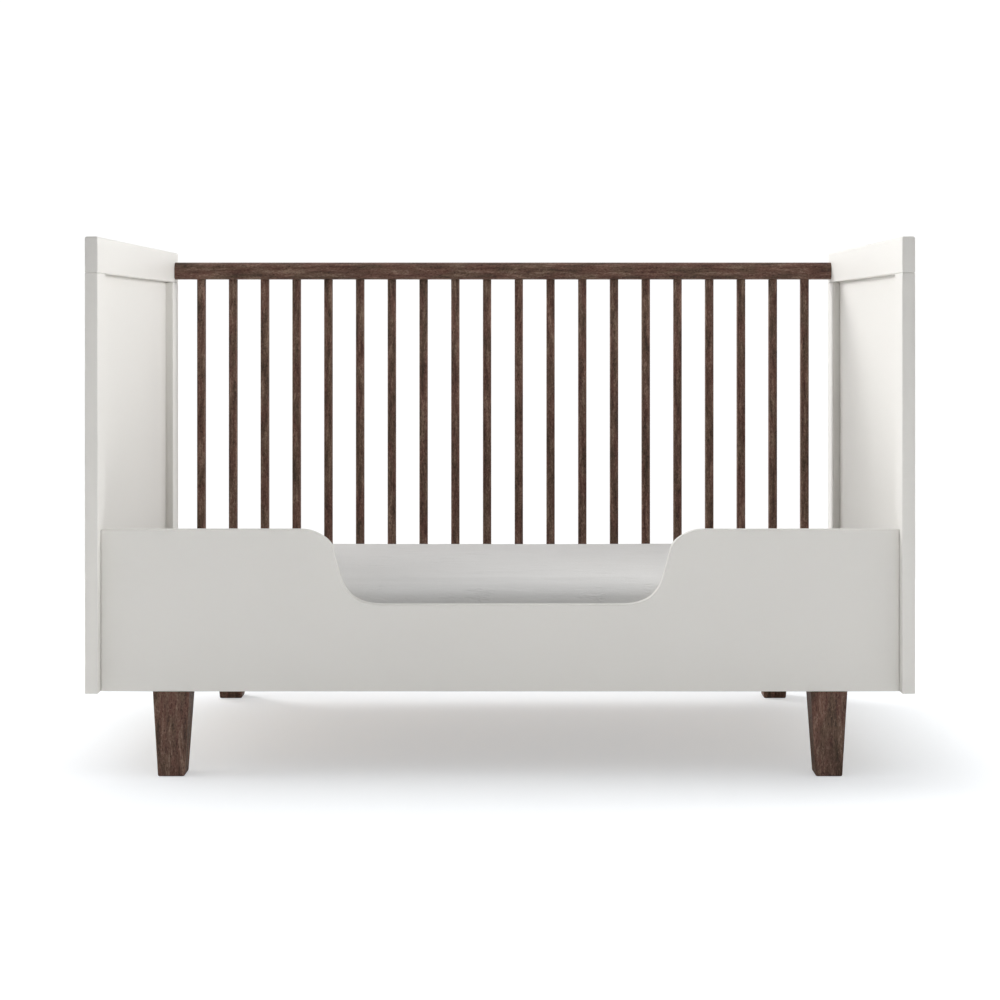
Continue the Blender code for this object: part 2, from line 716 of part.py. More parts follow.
def make_shoulder_bolts(end_rails):
    """Bolts in the end bottom rails; the support's brackets hang on their shoulders."""
    head_low = BRACKET_END_GAP + BRACKET_STEEL + SLOT_PLAY
    head_top = head_low + SHOULDER_HEAD_THICK
    chamfer = SHOULDER_HEAD_THICK / 5
    profile = [
        (0, head_top), (SHOULDER_HEAD_RADIUS - chamfer, head_top),
        (SHOULDER_HEAD_RADIUS, head_top - chamfer), (SHOULDER_HEAD_RADIUS, head_low),
        (SHOULDER_RADIUS, head_low), (SHOULDER_RADIUS, GAP),
        (BOLT_SHANK_RADIUS, GAP), (BOLT_SHANK_RADIUS, -SHOULDER_SHANK),
        (0, -SHOULDER_SHANK),
    ]
    mesh = with_key_socket(
        turned("shoulder_bolt", profile, PARTS, ZINC_STEEL), head_top, ZINC_STEEL)
    for side, end_rail in zip((-1, 1), end_rails):
        holes = []
        for facing in (-1, 1):
            y = BED_MIDDLE_Y + facing * BRACKET_Y
            name = f"{end_name(facing)}_{side_name(side)}_shoulder_bolt"
            bolt = new_object(name, mesh, PARTS)
            bolt.location = (side * END_INNER, y, SHOULDER_Z)
            bolt.rotation_euler = (0, -side * math.pi / 2, 0)
            holes.append(((side * (END_INNER - GAP), y, SHOULDER_Z),
                          (side * (END_INNER + SHOULDER_SHANK + GAP), y, SHOULDER_Z)))
        cut(end_rail, rods(
            side_name(side) + "_shoulder_bolt_holes", holes, BOLT_SHANK_RADIUS + HOLE_PLAY))


def make_connector_bolts(bored, joints):
    """Bolts through the ends into the rails; joints are (name, y, z) of each.

    bored holds, for each side, the pieces that its bolts pass through.
    """
    head_low = -BOLT_SINK - BOLT_HEAD_THICK
    chamfer = BOLT_HEAD_THICK / 4
    profile = [
        (0, -BOLT_SINK), (BOLT_HEAD_RADIUS - chamfer, -BOLT_SINK),
        (BOLT_HEAD_RADIUS, -BOLT_SINK - chamfer), (BOLT_HEAD_RADIUS, head_low),
        (BOLT_SHANK_RADIUS, head_low), (BOLT_SHANK_RADIUS, -BOLT_LENGTH),
        (0, -BOLT_LENGTH),
    ]
    mesh = with_key_socket(
        turned("connector_bolt", profile, PARTS, ZINC_STEEL), -BOLT_SINK, ZINC_STEEL)
    for side, pieces in zip((-1, 1), bored):
        shanks, heads = [], []
        for joint_name, y, z in joints:
            bolt = new_object(f"{side_name(side)}_{joint_name}_bolt", mesh, PARTS)
            bolt.location = (side * END_OUTER, y, z)
            bolt.rotation_euler = (0, side * math.pi / 2, 0)
            shanks.append(((side * (END_OUTER + GAP), y, z),
                           (side * (END_OUTER - BOLT_LENGTH - GAP), y, z)))
            heads.append(((side * (END_OUTER + GAP), y, z),
                          (side * (END_OUTER + head_low - GAP), y, z)))
        shank_holes = rods(
            side_name(side) + "_bolt_holes", shanks, BOLT_SHANK_RADIUS + HOLE_PLAY)
        head_seats = rods(
            side_name(side) + "_bolt_seats", heads, BOLT_HEAD_RADIUS + HOLE_PLAY)
        for piece, in_end in pieces:
            cut(piece, shank_holes)
            if in_end:
                cut(piece, head_seats)


# ---- the whole crib -----------------------------------------------------

def empty_scene():
    for thing in list(bpy.data.objects):
        bpy.data.objects.remove(thing)


def new_collection(name):
    collection = bpy.data.collections.new(name)
    bpy.context.scene.collection.children.link(collection)
    return collection


def make_crib():
    ends = [make_end(side) for side in (-1, 1)]
    top_rail, bottom_rail = make_rear_side()
    guard_rail = make_guard_rail()
    for facing in (-1, 1):
        make_base(facing)
    make_support()
    make_mattress()
    make_shoulder_bolts([end_rail for _, _, _, end_rail in ends])
    joints = [
        ("guard_rail_lower", GUARD_MIDDLE, UNDERSIDE + GUARD_BOLT_INSET),
        ("guard_rail_upper", GUARD_MIDDLE, GUARD_TOP - GUARD_BOLT_INSET),
        ("rear_top", REAR_MIDDLE, (TOP_RAIL_TOP + TOP_RAIL_BOTTOM) / 2),
        ("rear_bottom", REAR_MIDDLE, (UNDERSIDE + BOTTOM_RAIL_TOP) / 2),
    ]
    bored = [[(cap, True), (front_stile, True), (rear_stile, True),
              (guard_rail, False), (top_rail, False), (bottom_rail, False)]
             for cap, front_stile, rear_stile, _ in ends]
    make_connector_bolts(bored, joints)


empty_scene()
PARTS = new_collection("baby_crib")
CUTTERS = new_collection("cutters")
WHITE_PAINT = make_finish("white_paint")
WALNUT = make_finish("walnut")
BIRCH_BOARD = make_finish("birch_board")
ZINC_STEEL = make_finish("zinc_steel")
SHEET_COTTON = make_finish("sheet_cotton")
make_crib()
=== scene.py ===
"""The looks of the baby crib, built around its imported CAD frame."""

import math

import bmesh
import bpy
from mathutils import Matrix, Vector, noise
from mathutils.bvhtree import BVHTree


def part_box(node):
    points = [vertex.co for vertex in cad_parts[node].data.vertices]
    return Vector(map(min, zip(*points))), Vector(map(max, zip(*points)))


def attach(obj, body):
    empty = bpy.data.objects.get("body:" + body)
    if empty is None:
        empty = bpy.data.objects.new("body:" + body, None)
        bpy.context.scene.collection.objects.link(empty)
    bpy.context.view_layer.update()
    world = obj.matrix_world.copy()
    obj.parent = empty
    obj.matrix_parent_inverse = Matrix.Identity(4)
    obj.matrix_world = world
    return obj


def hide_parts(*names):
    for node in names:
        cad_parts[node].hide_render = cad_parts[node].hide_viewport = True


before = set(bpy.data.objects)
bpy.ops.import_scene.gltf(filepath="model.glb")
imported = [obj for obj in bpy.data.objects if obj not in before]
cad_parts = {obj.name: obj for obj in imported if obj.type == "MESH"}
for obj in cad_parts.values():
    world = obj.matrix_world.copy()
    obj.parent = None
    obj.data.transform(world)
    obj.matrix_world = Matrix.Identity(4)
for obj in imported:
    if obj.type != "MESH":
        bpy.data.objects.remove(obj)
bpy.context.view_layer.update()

MM = 0.001
SIDES = ("left", "right")
FACINGS = ("front", "rear")


# ---- shader maths ---------------------------------------------------------

class Wire:
    """A shader socket; arithmetic on it adds Math nodes."""

    def __init__(self, finish, socket):
        self.finish = finish
        self.socket = socket

    def math(self, operation, *values):
        sockets = dict(enumerate((self, *values)))
        return self.finish.node("ShaderNodeMath", {"operation": operation}, sockets)

    def __add__(self, other):
        return self.math("ADD", other)

    __radd__ = __add__

    def __mul__(self, other):
        return self.math("MULTIPLY", other)

    __rmul__ = __mul__

    def __sub__(self, other):
        return self.math("SUBTRACT", other)

    def __rsub__(self, other):
        settings = {"operation": "SUBTRACT"}
        return self.finish.node("ShaderNodeMath", settings, {0: other, 1: self})

    def __truediv__(self, other):
        return self.math("DIVIDE", other)

    def above(self, edge, softness):
        """0 below the edge, 1 above edge + softness, smooth between."""
        settings = {"interpolation_type": "SMOOTHSTEP"}
        return self.finish.node("ShaderNodeMapRange", settings, {
            "Value": self, "From Min": edge, "From Max": edge + softness})


class Finish:
    """A Principled material and the one method that adds nodes to it."""

    def __init__(self, name, **constants):
        self.material = bpy.data.materials.new(name)
        self.material.use_nodes = True
        self.tree = self.material.node_tree
        self.shader = self.tree.nodes["Principled BSDF"]
        for socket, value in constants.items():
            self.shader.inputs[socket.replace("_", " ")].default_value = value

    def node(self, kind, settings=None, values=None, output=0):
        made = self.tree.nodes.new(kind)
        for name, value in (settings or {}).items():
            if name == "stops":
                self.set_stops(made.color_ramp, value)
            else:
                setattr(made, name, value)
        for key, value in (values or {}).items():
            if isinstance(value, Wire):
                self.tree.links.new(value.socket, made.inputs[key])
            else:
                made.inputs[key].default_value = value
        return Wire(self, made.outputs[output])

    @staticmethod
    def set_stops(ramp, stops):
        while len(ramp.elements) < len(stops):
            ramp.elements.new(1.0)
        for element, (position, colour) in zip(ramp.elements, stops):
            element.position = position
            element.color = (*colour, 1.0)

    def place(self):
        """The point on the piece, in metres, in the frame of the piece."""
        return self.node("ShaderNodeTexCoord", output="Object")

    def stretched(self, point, scale):
        return self.node("ShaderNodeVectorMath", {"operation": "MULTIPLY"},
                         {0: point, 1: scale})

    def warped(self, point, wobble, amount):
        """The point pushed about by the three channels of a colour noise."""
        push = self.node("ShaderNodeVectorMath", {"operation": "MULTIPLY_ADD"},
                         {0: wobble, 1: (amount,) * 3, 2: (-amount / 2,) * 3})
        return self.node("ShaderNodeVectorMath", {"operation": "ADD"}, {0: point, 1: push})

    def noise(self, point, scale, detail=2.0, roughness=0.5, output="Fac"):
        return self.node("ShaderNodeTexNoise", None, {
            "Vector": point, "Scale": scale, "Detail": detail, "Roughness": roughness},
            output)

    def blend(self, factor, low, high, mode="MIX"):
        settings = {"data_type": "RGBA", "blend_type": mode}
        made = self.node("ShaderNodeMix", settings, {0: factor})
        mix = made.socket.node
        for key, value in ((6, low), (7, high)):
            if isinstance(value, Wire):
                self.tree.links.new(value.socket, mix.inputs[key])
            else:
                mix.inputs[key].default_value = (*value, 1.0)
        return Wire(self, mix.outputs[2])

    def ramp(self, factor, *stops):
        return self.node("ShaderNodeValToRGB", {"stops": stops}, {"Fac": factor})

    def bump(self, height, distance, strength=1.0):
        self.feed("Normal", self.node("ShaderNodeBump", None, {
            "Height": height, "Distance": distance, "Strength": strength}))

    def feed(self, socket, wire):
        self.tree.links.new(wire.socket, self.shader.inputs[socket])


# ---- finishes -------------------------------------------------------------

PAINT_WHITE = (0.800, 0.786, 0.752)
PAINT_END_GRAIN = (0.785, 0.770, 0.738)


def satin_paint(name, ends=False):
    """Sprayed satin lacquer over wood; a rail's end grain drinks it and dries duller."""
    paint = Finish(name, Specular_IOR_Level=0.42)
    colour = PAINT_WHITE
    if ends:
        facing = paint.node("ShaderNodeTexCoord", output="Normal")
        endwise = paint.node("ShaderNodeSeparateXYZ", None, {0: facing}, "Y")
        on_end = endwise.math("ABSOLUTE").above(0.70, 0.2)
        colour = paint.blend(on_end, PAINT_WHITE, PAINT_END_GRAIN)
    point = paint.place()
    cloud = paint.noise(point, 5.0, 3.0)
    speck = paint.noise(point, 900.0, 2.0)
    shade = 0.975 + cloud * 0.03 + speck * 0.012
    tone = paint.node("ShaderNodeCombineColor", None, {0: shade, 1: shade, 2: shade})
    paint.feed("Base Color", paint.blend(1.0, colour, tone, "MULTIPLY"))
    paint.feed("Roughness", 0.36 + cloud * 0.10 + speck * 0.04)
    orange_peel = paint.noise(point, 420.0, 2.5, 0.55)
    long_grain = paint.noise(paint.stretched(point, (240.0, 240.0, 9.0)), 1.0, 3.0)
    paint.bump(orange_peel * 0.7 + long_grain * 0.5, 0.06 * MM, 0.35)
    return paint.material


# stain colours from the dark summer wood to the pale lines between
STAIN_DARK = (0.045, 0.0240, 0.0165)
STAIN_MIDDLE = (0.151, 0.0845, 0.0615)
STAIN_LIGHT = (0.310, 0.2080, 0.1520)
STAIN_OLIVE = (0.132, 0.0930, 0.0580)
STAIN_RED = (0.175, 0.0700, 0.0540)
PORE_DARK = (0.026, 0.0135, 0.0095)


def along_axis(axis, along, across):
    return tuple(along if letter == axis else across for letter in "XYZ")


def stained_walnut(name, axis):
    """Walnut-stained hardwood with its grain along one axis of the frame."""
    wood = Finish(name, Specular_IOR_Level=0.24)
    point = wood.place()
    wobble = wood.noise(wood.stretched(point, along_axis(axis, 9.0, 30.0)), 1.0, 3.0,
                        output="Color")
    grain_point = wood.warped(point, wobble, 14 * MM)
    figure = wood.noise(wood.stretched(grain_point, along_axis(axis, 16.0, 150.0)),
                        1.0, 5.0, 0.62)
    fibre = wood.noise(wood.stretched(grain_point, along_axis(axis, 70.0, 900.0)),
                       1.0, 3.0, 0.6)
    patches = wood.noise(wood.stretched(point, along_axis(axis, 15.0, 60.0)), 1.0, 3.0)
    mottle = wood.noise(wood.stretched(grain_point, along_axis(axis, 210.0, 400.0)),
                        1.0, 4.0, 0.7)
    pores = wood.noise(wood.stretched(grain_point, along_axis(axis, 170.0, 1300.0)),
                       1.0, 1.5, 0.5)

    tone = (figure - 0.5) * 2.7 + (mottle - 0.5) * 1.4 + (fibre - 0.5) * 0.9 + 0.5
    figure_colour = wood.ramp(
        tone, (0.12, STAIN_DARK), (0.46, STAIN_MIDDLE), (0.58, STAIN_MIDDLE),
        (0.92, STAIN_LIGHT))
    tint = wood.ramp(patches, (0.42, STAIN_RED), (0.50, STAIN_MIDDLE), (0.58, STAIN_OLIVE))
    tinted = wood.blend(0.30, figure_colour, tint)
    pore_mask = pores.above(0.56, 0.08)
    pored = wood.blend(pore_mask * 0.75, tinted, PORE_DARK)
    chalky = mottle.above(0.59, 0.08)
    wood.feed("Base Color", wood.blend(chalky * 0.40, pored, STAIN_LIGHT))
    wood.feed("Roughness", 0.46 + fibre * 0.14 + pore_mask * 0.15)
    wood.bump(fibre * 0.35 + figure * 0.30 - pore_mask * 0.8, 0.12 * MM, 0.6)
    return wood.material


def pale_birch(name, axis):
    """Clear-lacquered birch, grain along one axis."""
    birch = Finish(name, Specular_IOR_Level=0.35)
    point = birch.place()
    wobble = birch.noise(point, 7.0, 2.0, output="Color")
    grain_point = birch.warped(point, wobble, 22 * MM)
    figure = birch.noise(birch.stretched(grain_point, along_axis(axis, 3.0, 46.0)),
                         1.0, 5.0, 0.6)
    fibre = birch.noise(birch.stretched(point, along_axis(axis, 45.0, 1300.0)), 1.0, 3.0)
    colour = birch.ramp(
        figure * 0.8 + fibre * 0.2,
        (0.30, (0.47, 0.335, 0.205)), (0.48, (0.60, 0.455, 0.300)),
        (0.66, (0.69, 0.555, 0.395)))
    birch.feed("Base Color", colour)
    birch.feed("Roughness", 0.50 + fibre * 0.16)
    birch.bump(fibre * 0.6 + figure * 0.4, 0.10 * MM, 0.5)
    return birch.material


def birch_ply(name, low_z, high_z, plies):
    """Birch face veneer, with the plies showing in bands on the edges."""
    ply = Finish(name, Specular_IOR_Level=0.35)
    point = ply.place()
    wobble = ply.noise(point, 5.0, 2.0, output="Color")
    grain_point = ply.warped(point, wobble, 30 * MM)
    figure = ply.noise(ply.stretched(grain_point, (2.4, 34.0, 34.0)), 1.0, 5.0, 0.6)
    fibre = ply.noise(ply.stretched(point, (40.0, 1200.0, 1200.0)), 1.0, 3.0)
    face = ply.ramp(
        figure * 0.8 + fibre * 0.2,
        (0.30, (0.50, 0.365, 0.225)), (0.50, (0.62, 0.475, 0.315)),
        (0.68, (0.70, 0.565, 0.400)))
    height = ply.node("ShaderNodeSeparateXYZ", None, {0: point}, "Z")
    ply_number = (height - low_z) / (high_z - low_z) * (plies / 2)
    band = ply_number.math("FRACT").above(0.48, 0.05)
    edge = ply.blend(band, (0.56, 0.42, 0.27), (0.25, 0.155, 0.085))
    upward = ply.node("ShaderNodeSeparateXYZ", None, {
        0: ply.node("ShaderNodeTexCoord", output="Normal")}, "Z").math("ABSOLUTE")
    ply.feed("Base Color", ply.blend(upward.above(0.55, 0.25), edge, face))
    ply.feed("Roughness", 0.52 + fibre * 0.15)
    ply.bump(fibre * 0.6 + figure * 0.4, 0.10 * MM, 0.5)
    return ply.material


def zinc_plate(name, axis, tone):
    """Bright zinc plating with fine rolling marks along one axis."""
    zinc = Finish(name, Metallic=1.0)
    point = zinc.place()
    brushed = zinc.noise(zinc.stretched(point, along_axis(axis, 60.0, 2600.0)), 1.0, 2.0)
    bloom = zinc.noise(point, 140.0, 3.0)
    zinc.feed("Base Color", zinc.ramp(
        bloom * 0.6 + brushed * 0.4,
        (0.30, tuple(tone * part for part in (0.86, 0.86, 0.88))),
        (0.70, (tone, tone, tone))))
    zinc.feed("Roughness", 0.24 + bloom * 0.14 + brushed * 0.06)
    zinc.bump(brushed, 0.03 * MM, 0.4)
    return zinc.material


def woven_cotton(name, colour, thread, puckered=0.0):
    """Plain-weave cotton sheeting: threads crossing over and under each other; when
    puckered, crease lines are bumped and darkened with painted shade.
    """
    cotton = Finish(name, Specular_IOR_Level=0.22, Sheen_Weight=0.12, Sheen_Roughness=0.5)
    point = cotton.place()
    slub = cotton.noise(point, 60.0, 2.0, output="Color")
    thread_point = cotton.warped(point, slub, 0.5 * MM)
    counts = cotton.stretched(thread_point, (math.pi / thread,) * 3)
    parts = [cotton.node("ShaderNodeSeparateXYZ", None, {0: counts}, letter)
             for letter in "XYZ"]
    warp, weft, rise = [part.math("SINE") for part in parts]
    weave = warp * weft + weft * rise + warp * rise
    cloud = cotton.noise(point, 14.0, 3.0)
    lint = cotton.noise(point, 700.0, 2.0)
    shade = 0.955 + weave * 0.012 + cloud * 0.05 + lint * 0.03
    height = weave * 0.010 + lint * 0.016
    if puckered:
        crumple = cotton.noise(point, 9.0, 2.0, output="Color")
        pulled = cotton.stretched(cotton.warped(point, crumple, 35 * MM),
                                  (13.0, 46.0, 30.0))
        fold = cotton.noise(pulled, 1.0, 3.0, 0.55)
        ridge = 1.0 - ((fold - 0.5).math("ABSOLUTE") * 14.0).math("MINIMUM", 1.0)
        here = cotton.noise(point, 13.0, 2.0).above(0.53, 0.12)
        pucker = ridge * here * puckered
        height = height + pucker * 0.45 + fold * 0.9
        # painted shade: the crease lines are darkened in the colour as well as bumped
        shade = shade - pucker * 0.035
    tone = cotton.node("ShaderNodeCombineColor", None, {0: shade, 1: shade, 2: shade})
    cotton.feed("Base Color", cotton.blend(1.0, colour, tone, "MULTIPLY"))
    cotton.feed("Roughness", 0.80 + lint * 0.12)
    cotton.bump(height, 2.0 * MM, 0.7)
    return cotton.material


PAINT = satin_paint("satin white paint")
PAINT_ON_CAP = satin_paint("satin white paint on the cap rails", ends=True)
WALNUT_UP = stained_walnut("stained walnut, grain upright", "Z")
WALNUT_ALONG = stained_walnut("stained walnut, grain along the bed", "X")
BIRCH = pale_birch("birch battens", "X")
BOARD_LOW, BOARD_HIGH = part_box("support_board")
PLY = birch_ply("birch plywood", BOARD_LOW.z, BOARD_HIGH.z, 9)
ZINC_SHEET = zinc_plate("zinc plated sheet", "Y", 0.74)
ZINC_BOLT = zinc_plate("nickel plated bolts", "X", 0.66)
TICKING = woven_cotton("mattress ticking", (0.70, 0.71, 0.73), 0.9 * MM)
HEM_ELASTIC = woven_cotton("gathered elastic hem", (0.74, 0.735, 0.72), 0.6 * MM)
SHEETING = woven_cotton("fitted sheet cotton", (0.800, 0.795, 0.785), 0.42 * MM, 1.0)


# ---- mesh helpers ---------------------------------------------------------

def even_shading(thing):
    """Smooth shading that leaves the flats flat and the rounded edges round."""
    mesh = thing.data
    if "custom_normal" in mesh.attributes:
        mesh.attributes.remove(mesh.attributes["custom_normal"])
    for face in mesh.polygons:
        face.use_smooth = True
    normals = thing.modifiers.new("even shading", "WEIGHTED_NORMAL")
    normals.mode = "FACE_AREA"
    normals.weight = 80
    normals.keep_sharp = True


def new_piece(name, shape, finish):
    """A new object from a bmesh, with one finish."""
    bmesh.ops.recalc_face_normals(shape, faces=shape.faces)
    mesh = bpy.data.meshes.new(name)
    shape.to_mesh(mesh)
    shape.free()
    mesh.materials.append(finish)
    thing = bpy.data.objects.new(name, mesh)
    bpy.context.scene.collection.objects.link(thing)
    return thing


# ---- camera, light and floor ----------------------------------------------

EYE = (0.0266, -3.702, 0.7554)     # level with the inside of the bed, straight in front
LENS = 71.75                       # millimetres, on a sensor 36 mm wide
SHIFT = (-0.016, -0.1755)


def set_camera():
    camera = bpy.data.cameras.new("camera")
    camera.lens = LENS
    camera.sensor_width = 36.0
    camera.shift_x, camera.shift_y = SHIFT
    camera.clip_end = 60.0
    holder = bpy.data.objects.new("camera", camera)
    bpy.context.scene.collection.objects.link(holder)
    holder.location = EYE
    holder.rotation_euler = (math.radians(90), 0, 0)
    bpy.context.scene.camera = holder


def softbox(name, place, aim, wide, tall, power, spread=180):
    """A rectangular light of so many watts, aimed at a point; spread is in degrees."""
    light = bpy.data.lights.new(name, "AREA")
    light.shape = "RECTANGLE"
    light.size = wide
    light.size_y = tall
    light.energy = power
    light.spread = math.radians(spread)
    holder = bpy.data.objects.new(name, light)
    bpy.context.scene.collection.objects.link(holder)
    holder.location = place
    holder.rotation_euler = (Vector(aim) - Vector(place)).to_track_quat("-Z", "Y").to_euler()


GLOW_LEAN = (0.0, 0.75, 0.65)      # the glow grows towards up and behind
GLOW_FROM, GLOW_TO = -0.7, 0.6


def set_studio_world(front_glow, rear_glow):
    """White behind the crib; a dimmer glow lights it, dimmest from low in front."""
    world = bpy.data.worlds.new("studio")
    world.use_nodes = True
    tree = world.node_tree
    tree.nodes.clear()
    path = tree.nodes.new("ShaderNodeLightPath")
    lit = tree.nodes.new("ShaderNodeBackground")
    lit.inputs["Color"].default_value = (1, 1, 1, 1)
    spot = tree.nodes.new("ShaderNodeTexCoord")
    glow = tree.nodes.new("ShaderNodeMapRange")
    glow.interpolation_type = "SMOOTHSTEP"
    for socket, value in (("From Min", GLOW_FROM), ("From Max", GLOW_TO),
                          ("To Min", front_glow), ("To Max", rear_glow)):
        glow.inputs[socket].default_value = value
    lean = tree.nodes.new("ShaderNodeVectorMath")
    lean.operation = "DOT_PRODUCT"
    lean.inputs[1].default_value = GLOW_LEAN
    tree.links.new(spot.outputs["Generated"], lean.inputs[0])
    tree.links.new(lean.outputs["Value"], glow.inputs["Value"])
    tree.links.new(glow.outputs[0], lit.inputs["Strength"])
    backdrop = tree.nodes.new("ShaderNodeBackground")
    backdrop.inputs["Color"].default_value = (1, 1, 1, 1)
    backdrop.inputs["Strength"].default_value = 1.0
    either = tree.nodes.new("ShaderNodeMixShader")
    out = tree.nodes.new("ShaderNodeOutputWorld")
    tree.links.new(path.outputs["Is Camera Ray"], either.inputs[0])
    tree.links.new(lit.outputs[0], either.inputs[1])
    tree.links.new(backdrop.outputs[0], either.inputs[2])
    tree.links.new(either.outputs[0], out.inputs[0])
    bpy.context.scene.world = world


def floor_finish():
    """Pale matt floor; where the camera sees it, it has a painted glow that lifts the
    shadows on it and a bluish tint that cancels the warm light bounced under the crib.
    """
    floor = Finish("studio floor", Base_Color=(0.93, 0.93, 0.93, 1.0), Roughness=0.75,
                   Specular_IOR_Level=0.1)
    # painted light: the floor the camera sees glows (emission) and is tinted bluish, so the
    # shadow on it reads lighter and neutral
    camera_floor_painted_glow = floor.node("ShaderNodeBsdfPrincipled", None, {
        "Base Color": (0.60, 0.615, 0.63, 1.0), "Roughness": 0.75,
        "Specular IOR Level": 0.1, "Emission Color": (0.97, 0.985, 1.0, 1.0),
        "Emission Strength": 0.42})
    seen = floor.node("ShaderNodeLightPath")
    lit = Wire(floor, floor.shader.outputs[0])
    either = floor.node("ShaderNodeMixShader", None, {0: seen, 1: lit, 2: camera_floor_painted_glow})
    surface = floor.tree.nodes["Material Output"].inputs["Surface"]
    floor.tree.links.new(either.socket, surface)
    return floor.material


FLOOR_SIDE, FLOOR_NEAR, FLOOR_FAR = 2.6, -2.3, 2.2
FLOOR_DROP = 0.4 * MM              # clear of the soles of the legs


def lay_floor():
    mesh = bpy.data.meshes.new("floor")
    mesh.from_pydata([(-FLOOR_SIDE, FLOOR_NEAR, 0), (FLOOR_SIDE, FLOOR_NEAR, 0),
                      (FLOOR_SIDE, FLOOR_FAR, 0), (-FLOOR_SIDE, FLOOR_FAR, 0)],
                     [], [(0, 1, 2, 3)])
    mesh.materials.append(floor_finish())
    floor = bpy.data.objects.new("floor", mesh)
    bpy.context.scene.collection.objects.link(floor)
    floor.location.z = -FLOOR_DROP


FLAG_CARD = Finish("grey card of the flags", Base_Color=(0.45, 0.45, 0.45, 1.0),
                   Roughness=0.9, Specular_IOR_Level=0.1).material


def flag(name, place, wide, tall):
    """A grey card that keeps a light off an end's outer face; no camera sees it."""
    shape = bmesh.new()
    corners = [(0, -wide / 2, -tall / 2), (0, wide / 2, -tall / 2),
               (0, wide / 2, tall / 2), (0, -wide / 2, tall / 2)]
    shape.faces.new([shape.verts.new(Vector(corner) + Vector(place)) for corner in corners])
    card = new_piece(name, shape, FLAG_CARD)
    card.visible_camera = False


set_camera()
set_studio_world(0.12, 0.74)
softbox("key from behind the left end", (-3.3, 2.5, 2.8), (0.0, 0.0, 0.3), 2.0, 1.8, 158)
softbox("side fill from the left", (-3.7, -0.2, 1.7), (0.5, 0.0, 0.5), 1.4, 1.6, 47)
softbox("side fill from the right", (3.7, -0.2, 2.1), (-0.5, 0.0, 0.5), 1.4, 1.4, 100)
flag("flag beside the left end", (-1.1, 0.13, 0.77), 1.27, 0.76)
flag("flag beside the right end", (1.1, -0.02, 0.66), 0.95, 0.80)
softbox("bounce off the floor in front", (0.0, -1.9, 1.8), (0.0, -1.9, 0.0), 2.6, 1.0, 19,
        spread=75)
lay_floor()
view = bpy.context.scene.view_settings
view.view_transform = "Standard"
view.look = "None"
view.exposure = 0.08


# ---- finishes on the frame -------------------------------------------------

FINISH_OF = {
    "cap_rail": PAINT_ON_CAP,
    "stile": PAINT,
    "end_bottom_rail": PAINT,
    "inset_panel": PAINT,
    "guard_rail": PAINT,
    "spindle": WALNUT_UP,
    "leg": WALNUT_UP,
    "rear_top_rail": WALNUT_ALONG,
    "rear_bottom_rail": WALNUT_ALONG,
    "base_rail": WALNUT_ALONG,
    "support_board": PLY,
    "batten": BIRCH,
    "bracket": ZINC_SHEET,
    "shoulder_bolt": ZINC_BOLT,
    "bolt": ZINC_BOLT,
}


def finish_for(name):
    """The finish of a frame node; the mattress, which is replaced, gets the sheet's."""
    for ending, finish in FINISH_OF.items():
        if name == ending or name.endswith("_" + ending) or name.startswith(ending + "_"):
            return finish
    return SHEETING


SAME_POINT = 0.005 * MM            # corners closer than this are one

for name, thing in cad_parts.items():
    for index in range(len(thing.material_slots)):
        thing.material_slots[index].link = "OBJECT"
        thing.material_slots[index].material = finish_for(name)
    weld = thing.modifiers.new("joined corners", "WELD")
    weld.merge_threshold = SAME_POINT
    even_shading(thing)


# ---- screws of the mattress support ------------------------------------------

HEAD_SIDES = 24
# a domed head and its socket: share of the radius, share of the height, six-sided or round
SCREW_PROFILE = ((1.00, -0.20, False), (1.00, 0.35, False), (0.90, 0.72, False),
                 (0.70, 0.95, False), (0.52, 1.00, False), (0.40, 1.00, True),
                 (0.37, 0.25, True))
BATTEN_SCREWS = 5
BATTEN_SCREW_MARGIN = 60 * MM
BATTEN_HEAD = (4.2 * MM, 0.9 * MM)      # radius and height
BRACKET_STEEL = 2 * MM
BRACKET_HEAD = (4.4 * MM, 2.4 * MM)
BRACKET_SCREW_INSET = 11 * MM
BRACKET_SCREW_APART = 26 * MM


def add_screw_head(shape, place, facing, radius, tall):
    """A low domed head with a six-sided socket; facing is 1 upwards or -1 downwards."""
    rows = []
    for reach, height, six_sided in SCREW_PROFILE:
        row = []
        for step in range(HEAD_SIDES):
            angle = 2 * math.pi * step / HEAD_SIDES
            flat = math.cos(math.pi / 6) / math.cos(angle % (math.pi / 3) - math.pi / 6)
            out = radius * reach * (flat if six_sided else 1.0)
            row.append(shape.verts.new(place + Vector((
                out * math.cos(angle), out * math.sin(angle), facing * height * tall))))
        rows.append(row)
    for lower, upper in zip(rows, rows[1:]):
        for index in range(HEAD_SIDES):
            after = (index + 1) % HEAD_SIDES
            shape.faces.new((lower[index], lower[after], upper[after], upper[index]))
    shape.faces.new(rows[0])
    shape.faces.new(rows[-1])


def make_screws(name, places, facing, head):
    """All the screws of one kind, as one piece on the mattress support."""
    shape = bmesh.new()
    for place in places:
        add_screw_head(shape, place, facing, *head)
    screws = new_piece(name, shape, ZINC_BOLT)
    screws.data.set_sharp_from_angle(angle=math.radians(40))
    even_shading(screws)
    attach(screws, "mattress_support")


def batten_screw_places():
    """Along each batten, on the board's top face."""
    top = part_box("support_board")[1].z
    for batten in ("front_batten", "middle_batten", "rear_batten"):
        low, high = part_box(batten)
        span = high.x - low.x - 2 * BATTEN_SCREW_MARGIN
        for index in range(BATTEN_SCREWS):
            yield Vector((low.x + BATTEN_SCREW_MARGIN + span * index / (BATTEN_SCREWS - 1),
                          (low.y + high.y) / 2, top))


